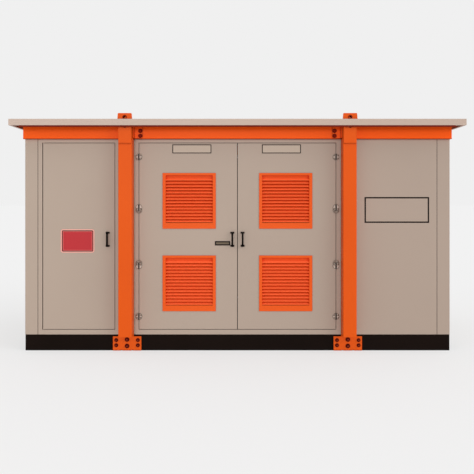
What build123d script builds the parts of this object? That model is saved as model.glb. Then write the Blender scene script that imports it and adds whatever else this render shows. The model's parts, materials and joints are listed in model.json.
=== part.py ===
"""Compact substation housing: a sheet steel cabin on a black channel base, with four orange
lifting columns, an orange top frame, louvred double doors, a single door and an overhanging roof.

Millimetres, +Z up. The origin is at the middle of the footprint, on the ground.
The front faces -Y and +X is to the right, seen from the front."""

import os
from build123d import *

os.makedirs("parts", exist_ok=True)

# Cabin
body_length = 4800.0
body_depth = 2400.0
wall_depth = 100.0
sheet = 3.0
panel_return = 50.0
corner_post_width = 148.0
post_steel = 5.0
post_corner = 8.0
end_post_width = 100.0
end_post_depth = 60.0
end_panel_joint = 4.0

# Doorways, from the base upwards
sill_height = 60.0
leaf_height = 2100.0
head_height = 45.0
frame_steel = 4.0
door_gap = 6.0
leaf_depth = 45.0
leaf_lip = 25.0
stop_width = 25.0
stop_depth = 20.0
stop_setback = 8.0
stop_joint = 2.0

# Single door, in the left bay
single_hinge_jamb = 47.0
single_latch_jamb = 62.0
single_hinge_gap = 9.0
pivot_inset = 8.0
pivot_radius = 6.0
pivot_play = 0.5
pivot_end_play = 2.0
pivot_length = 16.0
pivot_anchor = 40.0

# Double doors, in the middle bay
double_jamb = 54.0
meeting_gap = 8.0
hinge_bottom_inset = 143.0
hinge_top_inset = 155.0
hinge_step = 572.0
hinge_radius = 35.0
hinge_thickness = 8.0
hinge_edge_bevel = 3.0
hinge_disc_sides = 14
knuckle_radius = 7.5
knuckle_length = 68.0
knuckle_share = 22.0
knuckle_play = 0.5
knuckle_sides = 8
knuckle_web_depth = 4.0
knuckle_web_overlap = 1.0
hinge_pin_radius = 4.0
hinge_pin_play = 0.4
hinge_side_play = 1.0

# Louvres on the double doors
louvre_width = 600.0
louvre_height = 628.0
louvre_inboard_shift = 12.0
louvre_gap = 304.0
louvre_mid_drop = 67.0
louvre_flange = 6.0
louvre_side_border = 34.0
louvre_top_border = 25.0
louvre_bottom_border = 65.0
louvre_wall = 3.0
louvre_depth = 22.0
louvre_cut_play = 1.0
vane_pitch = 36.3
vane_count = 14
vane_foot = 6.0
vane_rise = 33.0
vane_sheet = 3.0
vane_front_setback = 1.5
leaf_stiffener = 30.0
leaf_stiffener_depth = 20.0

# Pull handles
handle_height = 166.0
handle_width = 20.0
handle_reach = 48.0
handle_bar = 14.0
handle_corner = 14.0
handle_foot_width = 43.0
handle_foot_height = 18.0
handle_foot_thickness = 6.0
handle_level = 1015.0
handle_inset_double = 54.0
handle_inset_single = 78.0

# Base frame
base_height = 180.0
base_flange = 70.0
base_steel = 8.0
base_end_recess = 5.0
cross_member_count = 5
cross_member_inset = 560.0
cross_member_width = 60.0
cross_member_height = 160.0
cross_member_steel = 6.0
floor_steel = 6.0
floor_play = 5.0

# Top frame
ring_height = 150.0
ring_flange = 75.0
ring_steel = 8.0
ring_front_proud = 35.0
ring_end_proud = 10.0

# Lifting columns
column_width = 150.0
column_depth = 150.0
column_steel = 8.0
column_cap = 10.0
column_corner = 8.0
column_centre = 1245.0
foot_plate_width = 320.0
foot_plate_height = 160.0
foot_plate_steel = 12.0
foot_tongue_top = 420.0
drain_notch_radius = 10.0
drain_notch_sides = 10
drain_notch_offset = 60.0

# Lifting plates on the column heads: a long one outside, a short one standing on the inner edge
lift_plate_width = 140.0
lift_plate_steel = 16.0
lift_plate_drop = 206.0
lift_head_width = 166.0
lift_head_top_width = 152.0
lift_head_start = 10.0
lift_shoulder = 20.0
lift_head_rise = 123.0
inner_lift_width = 104.0
inner_lift_rise = 112.0
lift_corner = 10.0
eye_rise = 78.0
eye_radius = 18.0
inner_eye_sides = 16

# Cleats between the middle beam and the columns
cleat_width = 100.0
cleat_height = 130.0
cleat_steel = 10.0
cleat_leg = 60.0

# Roof
fascia_standoff = 34.0
roof_end_overhang = 117.0
fascia_height = 70.0
fascia_drop = 15.0
roof_steel = 4.0
roof_lip = 25.0
ridge_rise = 40.0
rafter_count = 7
rafter_inset = 120.0
rafter_web = 6.0
rafter_flange = 60.0
rafter_flange_steel = 6.0
head_notch_play = 12.0

# Levels
wall_top = base_height + sill_height + leaf_height + head_height
leaf_bottom = base_height + sill_height
leaf_top = leaf_bottom + leaf_height
ring_top = wall_top + ring_height
fascia_bottom = ring_top - fascia_drop
fascia_top = fascia_bottom + fascia_height

# Plan lines
half_length = body_length / 2
half_depth = body_depth / 2
leaf_front = half_depth
leaf_back = half_depth - leaf_depth
column_inner = column_centre - column_width / 2
column_outer = column_centre + column_width / 2
column_front = half_depth + column_depth
post_inner = half_length - corner_post_width
single_latch_face = column_outer + single_latch_jamb
single_leaf_latch = single_latch_face + door_gap
single_hinge_face = post_inner - single_hinge_jamb
single_leaf_hinge = single_hinge_face - single_hinge_gap
pivot_x = -(single_leaf_hinge - pivot_inset)
pivot_y = -(leaf_front - pivot_inset)
double_face = column_inner - double_jamb
double_leaf_outer = double_face - door_gap
double_leaf_inner = meeting_gap / 2
hinge_levels = (leaf_bottom + hinge_bottom_inset, leaf_bottom + hinge_bottom_inset + hinge_step,
                leaf_top - hinge_top_inset - hinge_step, leaf_top - hinge_top_inset)
louvre_centre = (double_leaf_inner + double_leaf_outer) / 2 - louvre_inboard_shift
louvre_middle = (leaf_bottom + leaf_top) / 2 - louvre_mid_drop
louvre_levels = (louvre_middle - (louvre_height + louvre_gap) / 2,
                 louvre_middle + (louvre_height + louvre_gap) / 2)
hinge_x = (double_face + double_leaf_outer) / 2
roof_half_length = half_length + roof_end_overhang
roof_half_depth = column_front + lift_plate_steel + fascia_standoff
roof_slope = ridge_rise / roof_half_depth


def front_plane(y_out):
    """A plane seen from the front, at y_out in front of the middle."""
    return Plane.XZ.offset(y_out)


def box_between(x_low, x_high, y_low, y_high, z_low, z_high, mode=Mode.ADD):
    """A block between two corners, in the part that is being built."""
    middle = ((x_low + x_high) / 2, (y_low + y_high) / 2, (z_low + z_high) / 2)
    with Locations(middle):
        Box(x_high - x_low, y_high - y_low, z_high - z_low, mode=mode)


def tube_between(x_low, x_high, y_low, y_high, z_low, z_high, steel):
    """An upright hollow section between two corners."""
    box_between(x_low, x_high, y_low, y_high, z_low, z_high)
    box_between(x_low + steel, x_high - steel, y_low + steel, y_high - steel, z_low, z_high,
                mode=Mode.SUBTRACT)


def level_tube(x_low, x_high, y_low, y_high, z_low, z_high, steel):
    """A hollow section that lies along X, open at its ends."""
    box_between(x_low, x_high, y_low, y_high, z_low, z_high)
    box_between(x_low, x_high, y_low + steel, y_high - steel, z_low + steel, z_high - steel,
                mode=Mode.SUBTRACT)


def save(part, name):
    """Labels a finished piece and writes it."""
    part.label = name
    export_step(part, f"parts/{name}.step")


def both_sides(piece):
    """The piece and its twin on the other long side, half a turn about the middle."""
    with BuildPart() as pair:
        add(piece)
        add(piece, rotation=(0, 0, 180))
    return pair.part


# Base frame
with BuildPart() as base_long:
    with BuildSketch(Plane.YZ.offset(-(half_length - base_end_recess))):
        with Locations((-half_depth, 0)):
            Rectangle(base_flange, base_height, align=(Align.MIN, Align.MIN))
        with Locations((-half_depth + base_steel, base_steel)):
            Rectangle(base_flange, base_height - 2 * base_steel, align=(Align.MIN, Align.MIN),
                      mode=Mode.SUBTRACT)
    extrude(amount=2 * (half_length - base_end_recess))
    for side in (-1, 1):
        corner = (side * (half_length - base_end_recess), -half_depth, 0)
        split(bisect_by=Plane(origin=corner, z_dir=(side, 1, 0)), keep=Keep.BOTTOM)
save(both_sides(base_long.part), "base_long_channels")

with BuildPart() as base_end:
    with BuildSketch(Plane.XZ.offset(half_depth)):
        with Locations((-(half_length - base_end_recess), 0)):
            Rectangle(base_flange, base_height, align=(Align.MIN, Align.MIN))
        with Locations((-(half_length - base_end_recess) + base_steel, base_steel)):
            Rectangle(base_flange, base_height - 2 * base_steel, align=(Align.MIN, Align.MIN),
                      mode=Mode.SUBTRACT)
    extrude(amount=-body_depth)
    for side in (-1, 1):
        corner = (-(half_length - base_end_recess), side * half_depth, 0)
        split(bisect_by=Plane(origin=corner, z_dir=(1, side, 0)), keep=Keep.BOTTOM)
save(both_sides(base_end.part), "base_end_channels")

cross_member_spacing = 2 * (half_length - cross_member_inset) / (cross_member_count - 1)
with BuildPart() as cross_members:
    with BuildSketch(Plane.XZ.offset(half_depth - base_flange)):
        for number in range(cross_member_count):
            centre = (number - (cross_member_count - 1) / 2) * cross_member_spacing
            with Locations((centre, base_height - cross_member_height / 2)):
                Rectangle(cross_member_width, cross_member_height)
                with Locations((cross_member_steel / 2, 0)):
                    Rectangle(cross_member_width - cross_member_steel,
                              cross_member_height - 2 * cross_member_steel, mode=Mode.SUBTRACT)
    extrude(amount=-2 * (half_depth - base_flange))
save(cross_members.part, "base_cross_members")

floor_half_x = half_length - panel_return - end_post_depth - floor_play
floor_half_y = half_depth - wall_depth - floor_play
with BuildPart() as floor_plate:
    with BuildSketch(Plane.XY.offset(base_height)):
        Rectangle(2 * floor_half_x, 2 * floor_half_y)
        with GridLocations(2 * half_length - corner_post_width, body_depth - corner_post_width, 2, 2):
            Rectangle(corner_post_width + 2 * floor_play, corner_post_width + 2 * floor_play,
                      mode=Mode.SUBTRACT)
    extrude(amount=floor_steel)
save(floor_plate.part, "floor_plate")

# Wall posts
with BuildPart() as corner_posts:
    for x_side in (-1, 1):
        for y_side in (-1, 1):
            post_middle = (x_side * (half_length - corner_post_width / 2),
                           y_side * (half_depth - corner_post_width / 2))
            with BuildSketch(Plane.XY.offset(base_height)):
                with Locations(post_middle):
                    Rectangle(corner_post_width, corner_post_width)
                fillet(vertices().sort_by_distance((0, 0, base_height))[1:], radius=post_corner)
                with Locations(post_middle):
                    Rectangle(corner_post_width - 2 * post_steel, corner_post_width - 2 * post_steel,
                              mode=Mode.SUBTRACT)
            extrude(amount=wall_top - base_height)
save(corner_posts.part, "corner_posts")

with BuildPart() as column_posts:
    for x_side in (-1, 1):
        for y_side in (-1, 1):
            x_ends = sorted((x_side * column_inner, x_side * column_outer))
            y_ends = sorted((y_side * half_depth, y_side * (half_depth - wall_depth)))
            tube_between(*x_ends, *y_ends, base_height, ring_top, post_steel)
save(column_posts.part, "column_backing_posts")

# Single doorway: jambs, rails and stops
with BuildPart() as single_jambs:
    tube_between(-post_inner, -single_hinge_face, -half_depth, -half_depth + wall_depth,
                 base_height, wall_top, frame_steel)
    tube_between(-single_latch_face, -column_outer, -half_depth, -half_depth + wall_depth,
                 base_height, wall_top, frame_steel)

with BuildPart() as single_rails:
    level_tube(-single_hinge_face, -single_latch_face, -half_depth, -half_depth + wall_depth,
               base_height, leaf_bottom - door_gap, frame_steel)
    level_tube(-single_hinge_face, -single_latch_face, -half_depth, -half_depth + wall_depth,
               leaf_top + door_gap, wall_top, frame_steel)
    with Locations((pivot_x, pivot_y, leaf_bottom - pivot_length - pivot_end_play)):
        Cylinder(pivot_radius + pivot_play, pivot_length + pivot_end_play,
                 align=(Align.CENTER, Align.CENTER, Align.MIN), mode=Mode.SUBTRACT)
    with Locations((pivot_x, pivot_y, leaf_top)):
        Cylinder(pivot_radius + pivot_play, pivot_length + pivot_end_play,
                 align=(Align.CENTER, Align.CENTER, Align.MIN), mode=Mode.SUBTRACT)

stop_front = -leaf_back + stop_setback
with BuildPart() as single_stops:
    box_between(-single_hinge_face, -single_hinge_face + stop_width, stop_front,
                stop_front + stop_depth, leaf_bottom, leaf_top + door_gap)
    box_between(-single_latch_face - stop_width, -single_latch_face, stop_front,
                stop_front + stop_depth, leaf_bottom, leaf_top + door_gap)
    box_between(-single_hinge_face + stop_width + stop_joint,
                -single_latch_face - stop_width - stop_joint, stop_front,
                stop_front + stop_depth, leaf_top + door_gap - stop_width, leaf_top + door_gap)

# Double doorway: jambs, rails and stops
with BuildPart() as double_jambs:
    tube_between(-column_inner, -double_face, -half_depth, -half_depth + wall_depth,
                 base_height, wall_top, frame_steel)
    tube_between(double_face, column_inner, -half_depth, -half_depth + wall_depth,
                 base_height, wall_top, frame_steel)

with BuildPart() as double_rails:
    level_tube(-double_face, double_face, -half_depth, -half_depth + wall_depth,
               base_height, leaf_bottom - door_gap, frame_steel)
    level_tube(-double_face, double_face, -half_depth, -half_depth + wall_depth,
               leaf_top + door_gap, wall_top, frame_steel)

with BuildPart() as double_stops:
    box_between(-double_face, -double_face + stop_width, stop_front, stop_front + stop_depth,
                leaf_bottom, leaf_top + door_gap)
    box_between(double_face - stop_width, double_face, stop_front, stop_front + stop_depth,
                leaf_bottom, leaf_top + door_gap)
    box_between(-double_face + stop_width + stop_joint, double_face - stop_width - stop_joint,
                stop_front, stop_front + stop_depth,
                leaf_top + door_gap - stop_width, leaf_top + door_gap)

save(single_jambs.part, "single_door_jambs")
save(single_rails.part, "single_door_rails")
save(single_stops.part, "single_door_stops")
save(double_jambs.part, "double_door_jambs")
save(double_rails.part, "double_door_rails")
save(double_stops.part, "double_door_stops")

# Plain panel of the right bay
with BuildPart() as right_panel:
    box_between(column_outer, post_inner, -half_depth, -half_depth + panel_return,
                base_height, wall_top)
    box_between(column_outer + sheet, post_inner - sheet, -half_depth + sheet,
                -half_depth + panel_return, base_height + sheet, wall_top - sheet,
                mode=Mode.SUBTRACT)
save(right_panel.part, "front_right_panel")

# End walls: two panels on a middle post at each end
panel_end_y = half_depth - corner_post_width
with BuildPart() as end_panels:
    for y_ends in ((-panel_end_y, -end_panel_joint / 2), (end_panel_joint / 2, panel_end_y)):
        box_between(-half_length, -half_length + panel_return, *y_ends, base_height, wall_top)
        box_between(-half_length + sheet, -half_length + panel_return, y_ends[0] + sheet,
                    y_ends[1] - sheet, base_height + sheet, wall_top - sheet, mode=Mode.SUBTRACT)
with BuildPart() as right_end_panels:
    add(end_panels.part, rotation=(0, 0, 180))
save(end_panels.part, "left_end_panels")
save(right_end_panels.part, "right_end_panels")

with BuildPart() as end_post:
    post_face = -half_length + panel_return
    tube_between(post_face, post_face + end_post_depth, -end_post_width / 2, end_post_width / 2,
                 base_height, wall_top, post_steel)
save(both_sides(end_post.part), "end_wall_posts")

# Top frame, with mitred corners and breaks at the columns
ring_face_y = half_depth + ring_front_proud
ring_face_x = half_length + ring_end_proud


def ring_section():
    """The top frame's channel, web outwards, in a sketch of the long side."""
    with Locations((-ring_face_y, wall_top)):
        Rectangle(ring_flange, ring_height, align=(Align.MIN, Align.MIN))
    with Locations((-ring_face_y + ring_steel, wall_top + ring_steel)):
        Rectangle(ring_flange, ring_height - 2 * ring_steel, align=(Align.MIN, Align.MIN),
                  mode=Mode.SUBTRACT)


with BuildPart() as corner_beam:
    with BuildSketch(Plane.YZ.offset(-ring_face_x)):
        ring_section()
    extrude(amount=ring_face_x - column_outer)
    split(bisect_by=Plane(origin=(-ring_face_x, -ring_face_y, 0), z_dir=(-1, 1, 0)), keep=Keep.BOTTOM)

with BuildPart() as front_beams:
    add(corner_beam.part)
    mirror(corner_beam.part, about=Plane.YZ)
    with BuildSketch(Plane.YZ.offset(-column_inner)):
        ring_section()
    extrude(amount=2 * column_inner)
with BuildPart() as rear_beams:
    add(front_beams.part, rotation=(0, 0, 180))
save(front_beams.part, "front_top_beams")
save(rear_beams.part, "rear_top_beams")

with BuildPart() as end_beam:
    with BuildSketch(Plane.XZ.offset(ring_face_y)):
        with Locations((-ring_face_x, wall_top)):
            Rectangle(ring_flange, ring_height, align=(Align.MIN, Align.MIN))
        with Locations((-ring_face_x + ring_steel, wall_top + ring_steel)):
            Rectangle(ring_flange, ring_height - 2 * ring_steel, align=(Align.MIN, Align.MIN),
                      mode=Mode.SUBTRACT)
    extrude(amount=-2 * ring_face_y)
    for side in (-1, 1):
        corner = (-ring_face_x, side * ring_face_y, 0)
        split(bisect_by=Plane(origin=corner, z_dir=(1, side, 0)), keep=Keep.BOTTOM)
save(both_sides(end_beam.part), "end_top_beams")

# Lifting columns, foot plates and lifting plates
with BuildPart() as columns:
    for x_side in (-1, 1):
        for y_side in (-1, 1):
            x_ends = sorted((x_side * column_inner, x_side * column_outer))
            column_middle = (x_side * column_centre, y_side * (half_depth + column_depth / 2))
            with BuildSketch(Plane.XY.offset(base_height)):
                with Locations(column_middle):
                    Rectangle(column_width, column_depth)
                front_edge = vertices().sort_by(Axis.Y, reverse=y_side > 0)[:2]
                fillet(front_edge, radius=column_corner)
            extrude(amount=ring_top - base_height)
            with BuildSketch(Plane.XY.offset(base_height + column_cap)):
                with Locations(column_middle):
                    Rectangle(column_width - 2 * column_steel, column_depth - 2 * column_steel)
            extrude(amount=ring_top - base_height - 2 * column_cap, mode=Mode.SUBTRACT)
            y_foot = sorted((y_side * half_depth, y_side * (half_depth + foot_plate_steel)))
            box_between(*x_ends, *y_foot, base_height, foot_tongue_top, mode=Mode.SUBTRACT)
save(columns.part, "lifting_columns")

with BuildPart() as foot_plates:
    for x_side in (-1, 1):
        with BuildSketch(front_plane(half_depth)):
            with Locations((x_side * column_centre, 0)):
                Rectangle(foot_plate_width, foot_plate_height, align=(Align.CENTER, Align.MIN))
                Rectangle(column_width, foot_tongue_top, align=(Align.CENTER, Align.MIN))
                with Locations((-drain_notch_offset, 0), (drain_notch_offset, 0)):
                    RegularPolygon(drain_notch_radius, drain_notch_sides, mode=Mode.SUBTRACT)
        extrude(amount=foot_plate_steel)
save(both_sides(foot_plates.part), "column_foot_plates")

head_base = ring_top + lift_head_start
with BuildPart() as outer_lift_plate:
    with BuildSketch(front_plane(column_front)):
        with BuildLine():
            Polyline(
                (-lift_plate_width / 2, ring_top - lift_plate_drop),
                (lift_plate_width / 2, ring_top - lift_plate_drop),
                (lift_plate_width / 2, head_base),
                (lift_head_width / 2, head_base + lift_shoulder),
                (lift_head_top_width / 2, ring_top + lift_head_rise),
                (-lift_head_top_width / 2, ring_top + lift_head_rise),
                (-lift_head_width / 2, head_base + lift_shoulder),
                (-lift_plate_width / 2, head_base),
                close=True,
            )
        make_face()
        fillet(vertices().group_by(Axis.Y)[-1], radius=lift_corner)
        with Locations((0, ring_top + eye_rise)):
            Circle(eye_radius, mode=Mode.SUBTRACT)
    extrude(amount=lift_plate_steel)
with BuildPart() as inner_lift_plate:
    with BuildSketch(front_plane(half_depth)):
        with Locations((0, ring_top)):
            Rectangle(inner_lift_width, inner_lift_rise, align=(Align.CENTER, Align.MIN))
        chamfer(vertices().group_by(Axis.Y)[-1], length=lift_corner)
        with Locations((0, ring_top + eye_rise)):
            RegularPolygon(eye_radius, inner_eye_sides, major_radius=False, mode=Mode.SUBTRACT)
    extrude(amount=lift_plate_steel)
with BuildPart() as lift_plates:
    for x_side in (-1, 1):
        with Locations((x_side * column_centre, 0, 0)):
            for piece in (outer_lift_plate.part, inner_lift_plate.part):
                add(piece)
                add(piece, rotation=(0, 0, 180))
save(lift_plates.part, "lifting_plates")

with BuildPart() as cleats:
    for x_side in (-1, 1):
        with BuildSketch(Plane.XY.offset(wall_top + (ring_height - cleat_height) / 2)):
            with BuildLine():
                Polyline(
                    (x_side * column_inner, -ring_face_y),
                    (x_side * (column_inner - cleat_width), -ring_face_y),
                    (x_side * (column_inner - cleat_width), -ring_face_y - cleat_steel),
                    (x_side * (column_inner - cleat_steel), -ring_face_y - cleat_steel),
                    (x_side * (column_inner - cleat_steel), -ring_face_y - cleat_leg),
                    (x_side * column_inner, -ring_face_y - cleat_leg),
                    close=True,
                )
            make_face()
        extrude(amount=cleat_height)
save(both_sides(cleats.part), "beam_cleats")

# Roof: two skins that meet at the ridge, fascias and rafters
skin_eave_y = roof_half_depth - roof_steel
skin_end_x = roof_half_length - roof_steel
lip_inner_y = roof_half_depth - roof_lip


def skin_top(y_out):
    """Height of the roof's outer surface at a distance from the ridge line."""
    return fascia_top + (roof_half_depth - abs(y_out)) * roof_slope


with BuildPart() as front_skin:
    with BuildSketch(Plane.YZ.offset(-skin_end_x)):
        with BuildLine():
            Polyline(
                (-skin_eave_y, skin_top(skin_eave_y)),
                (-skin_eave_y, skin_top(skin_eave_y) - roof_steel),
                (0, skin_top(0) - roof_steel),
                (0, skin_top(0)),
                close=True,
            )
        make_face()
    extrude(amount=2 * skin_end_x)
    for x_side in (-1, 1):
        box_between(x_side * column_centre - lift_head_width / 2 - head_notch_play,
                    x_side * column_centre + lift_head_width / 2 + head_notch_play,
                    -column_front - lift_plate_steel - head_notch_play, -half_depth + head_notch_play,
                    fascia_bottom, ring_top + lift_head_rise, mode=Mode.SUBTRACT)
with BuildPart() as rear_skin:
    add(front_skin.part, rotation=(0, 0, 180))
save(front_skin.part, "roof_front_skin")
save(rear_skin.part, "roof_rear_skin")

with BuildPart() as long_fascia:
    with BuildSketch(Plane.YZ.offset(-roof_half_length)):
        with BuildLine():
            Polyline(
                (-roof_half_depth, fascia_bottom),
                (-lip_inner_y, fascia_bottom),
                (-lip_inner_y, fascia_bottom + roof_steel),
                (-skin_eave_y, fascia_bottom + roof_steel),
                (-skin_eave_y, skin_top(skin_eave_y)),
                (-roof_half_depth, fascia_top),
                close=True,
            )
        make_face()
    extrude(amount=2 * roof_half_length)
save(both_sides(long_fascia.part), "roof_long_fascias")

with BuildPart() as end_fascia:
    with BuildSketch(Plane.YZ.offset(-roof_half_length)):
        with BuildLine():
            Polyline(
                (-lip_inner_y, fascia_bottom),
                (lip_inner_y, fascia_bottom),
                (lip_inner_y, fascia_bottom + roof_steel),
                (skin_eave_y, fascia_bottom + roof_steel),
                (skin_eave_y, skin_top(skin_eave_y)),
                (0, skin_top(0)),
                (-skin_eave_y, skin_top(skin_eave_y)),
                (-skin_eave_y, fascia_bottom + roof_steel),
                (-lip_inner_y, fascia_bottom + roof_steel),
                close=True,
            )
        make_face()
    extrude(amount=roof_steel)
    box_between(-roof_half_length, -roof_half_length + roof_lip, -lip_inner_y, lip_inner_y,
                fascia_bottom, fascia_bottom + roof_steel)
save(both_sides(end_fascia.part), "roof_end_fascias")

rafter_spacing = 2 * (half_length - rafter_inset) / (rafter_count - 1)
with BuildPart() as rafters:
    for number in range(rafter_count):
        centre = (number - (rafter_count - 1) / 2) * rafter_spacing
        with BuildSketch(Plane.YZ.offset(centre - rafter_web / 2)):
            with BuildLine():
                Polyline(
                    (-ring_face_y, ring_top),
                    (ring_face_y, ring_top),
                    (ring_face_y, skin_top(ring_face_y) - roof_steel),
                    (0, skin_top(0) - roof_steel),
                    (-ring_face_y, skin_top(ring_face_y) - roof_steel),
                    close=True,
                )
            make_face()
        extrude(amount=rafter_web)
        box_between(centre - rafter_flange / 2, centre + rafter_flange / 2, -ring_face_y, ring_face_y,
                    ring_top, ring_top + rafter_flange_steel)
save(rafters.part, "roof_rafters")


def leaf_pan(x_low, x_high):
    """A folded steel door leaf, open at the back inside a narrow lip."""
    box_between(x_low, x_high, -leaf_front, -leaf_back, leaf_bottom, leaf_top)
    box_between(x_low + sheet, x_high - sheet, -leaf_front + sheet, -leaf_back - sheet,
                leaf_bottom + sheet, leaf_top - sheet, mode=Mode.SUBTRACT)
    box_between(x_low + leaf_lip, x_high - leaf_lip, -leaf_back - sheet, -leaf_back,
                leaf_bottom + leaf_lip, leaf_top - leaf_lip, mode=Mode.SUBTRACT)


# Single door leaf with its two pivots
with BuildPart() as single_leaf:
    leaf_pan(-single_leaf_hinge, -single_leaf_latch)
    with Locations((pivot_x, pivot_y, leaf_top)):
        Cylinder(pivot_radius, pivot_length + pivot_anchor, align=(Align.CENTER, Align.CENTER, Align.MAX))
    with Locations((pivot_x, pivot_y, leaf_top - sheet)):
        Cylinder(pivot_radius, pivot_length + sheet, align=(Align.CENTER, Align.CENTER, Align.MIN))
    with Locations((pivot_x, pivot_y, leaf_bottom - pivot_length)):
        Cylinder(pivot_radius, 2 * pivot_length + pivot_anchor,
                 align=(Align.CENTER, Align.CENTER, Align.MIN))
    stiffener_back = -leaf_back - sheet
    for level in louvre_levels:
        box_between(-single_leaf_hinge + sheet, -single_leaf_latch - sheet,
                    stiffener_back - leaf_stiffener_depth, stiffener_back,
                    level - leaf_stiffener / 2, level + leaf_stiffener / 2)
save(single_leaf.part, "single_door_leaf")

# Double door leaves, cut through behind the louvres
recess_width = louvre_width - 2 * louvre_side_border
recess_height = louvre_height - louvre_top_border - louvre_bottom_border
cut_margin = louvre_wall + louvre_cut_play


def louvre_bottom(level):
    """Height of a louvre's lower edge."""
    return level - louvre_height / 2


def recess_bottom(level):
    """Height of the lower edge of a louvre's recess."""
    return louvre_bottom(level) + louvre_bottom_border


with BuildPart() as left_leaf:
    leaf_pan(-double_leaf_outer, -double_leaf_inner)
    for level in louvre_levels:
        box_between(-louvre_centre - recess_width / 2 - cut_margin,
                    -louvre_centre + recess_width / 2 + cut_margin,
                    -leaf_front, -leaf_front + sheet, recess_bottom(level) - cut_margin,
                    recess_bottom(level) + recess_height + cut_margin, mode=Mode.SUBTRACT)
        box_between(-double_leaf_outer + sheet, -double_leaf_inner - sheet,
                    stiffener_back - leaf_stiffener_depth, stiffener_back,
                    level - leaf_stiffener / 2, level + leaf_stiffener / 2)
with BuildPart() as right_leaf:
    mirror(left_leaf.part, about=Plane.YZ)
save(left_leaf.part, "double_left_leaf")
save(right_leaf.part, "double_right_leaf")

# Louvres: a flanged frame with sloping vanes, one solid each
with BuildPart() as louvres_left:
    for level in louvre_levels:
        low = louvre_bottom(level)
        box_between(-louvre_centre - louvre_width / 2, -louvre_centre + louvre_width / 2,
                    -leaf_front - louvre_flange, -leaf_front, low, low + louvre_height)
        box_between(-louvre_centre - recess_width / 2 - louvre_wall,
                    -louvre_centre + recess_width / 2 + louvre_wall,
                    -leaf_front, -leaf_front + louvre_depth, recess_bottom(level) - louvre_wall,
                    recess_bottom(level) + recess_height + louvre_wall)
        box_between(-louvre_centre - recess_width / 2, -louvre_centre + recess_width / 2,
                    -leaf_front - louvre_flange, -leaf_front + louvre_depth, recess_bottom(level),
                    recess_bottom(level) + recess_height, mode=Mode.SUBTRACT)
        vane_front = -leaf_front - louvre_flange + vane_front_setback
        vane_back = -leaf_front + louvre_depth
        with BuildSketch(Plane.YZ.offset(-louvre_centre - recess_width / 2)):
            for number in range(vane_count):
                foot = recess_bottom(level) + vane_foot + number * vane_pitch
                with BuildLine():
                    Polyline(
                        (vane_front, foot),
                        (vane_back, foot + vane_rise),
                        (vane_back, foot + vane_rise + vane_sheet),
                        (vane_front, foot + vane_sheet),
                        close=True,
                    )
                make_face()
            head_vane_top = recess_bottom(level) + vane_foot + (vane_count - 1) * vane_pitch + vane_rise
            with BuildLine():
                Polyline(
                    (vane_back - vane_sheet, head_vane_top),
                    (vane_back, head_vane_top),
                    (vane_back, recess_bottom(level) + recess_height),
                    (vane_back - vane_sheet, recess_bottom(level) + recess_height),
                    close=True,
                )
            make_face()
        extrude(amount=recess_width)
with BuildPart() as louvres_right:
    mirror(louvres_left.part, about=Plane.YZ)
save(louvres_left.part, "double_left_louvres")
save(louvres_right.part, "double_right_louvres")


def handle_at(x_middle):
    """A bow pull handle on the face of a leaf."""
    middle = leaf_bottom + handle_level
    with BuildPart() as handle:
        with BuildSketch(Plane.YZ.offset(x_middle)):
            with Locations((-leaf_front, middle)):
                Rectangle(handle_reach, handle_height, align=(Align.MAX, Align.CENTER))
            fillet(vertices().group_by(Axis.X)[0], radius=handle_corner)
            with Locations((-leaf_front, middle)):
                Rectangle(handle_reach - handle_bar, handle_height - 2 * handle_foot_height,
                          align=(Align.MAX, Align.CENTER), mode=Mode.SUBTRACT)
        extrude(amount=handle_width / 2, both=True)
        for side in (-1, 1):
            with Locations((x_middle, -leaf_front, middle + side * (handle_height - handle_foot_height) / 2)):
                Box(handle_foot_width, handle_foot_thickness, handle_foot_height,
                    align=(Align.CENTER, Align.MAX, Align.CENTER))
    return handle.part


single_handle = handle_at(-(single_leaf_latch + handle_inset_single))
left_handle = handle_at(-(double_leaf_inner + handle_inset_double))
right_handle = handle_at(double_leaf_inner + handle_inset_double)
save(single_handle, "single_door_handle")
save(left_handle, "double_left_handle")
save(right_handle, "double_right_handle")

# Hinges of the double doors: round die-cast halves on a common pin
knuckle_clear = knuckle_radius + hinge_side_play
knuckle_top = knuckle_length / 2
knuckle_split = knuckle_length / 2 - knuckle_share
barrel_axis = (0, -hinge_thickness)


def barrel(z_low, z_high):
    """A length of a hinge's barrel, in the part that is being built."""
    with BuildSketch(Plane.XY.offset(z_low)) as barrel_section:
        with Locations(barrel_axis):
            RegularPolygon(knuckle_radius, knuckle_sides)
    extrude(barrel_section.sketch, amount=z_high - z_low)


with BuildPart() as hinge_disc:
    with BuildSketch(front_plane(0)):
        RegularPolygon(hinge_radius, hinge_disc_sides)
    extrude(amount=hinge_thickness)
    chamfer(faces().sort_by(Axis.Y)[0].edges(), length=hinge_edge_bevel)

with BuildPart() as frame_hinge:
    add(hinge_disc.part)
    box_between(-knuckle_clear, hinge_radius, -hinge_thickness, 0, -hinge_radius, hinge_radius,
                mode=Mode.SUBTRACT)
    for side in (-1, 1):
        ends = sorted((side * knuckle_split, side * knuckle_top))
        barrel(*ends)
        box_between(-knuckle_clear - knuckle_web_overlap, 0,
                    -hinge_thickness, -hinge_thickness + knuckle_web_depth, *ends)
    with BuildSketch(Plane.XY.offset(-knuckle_top)):
        with Locations(barrel_axis):
            RegularPolygon(hinge_pin_radius, knuckle_sides)
    extrude(amount=knuckle_length)

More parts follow.
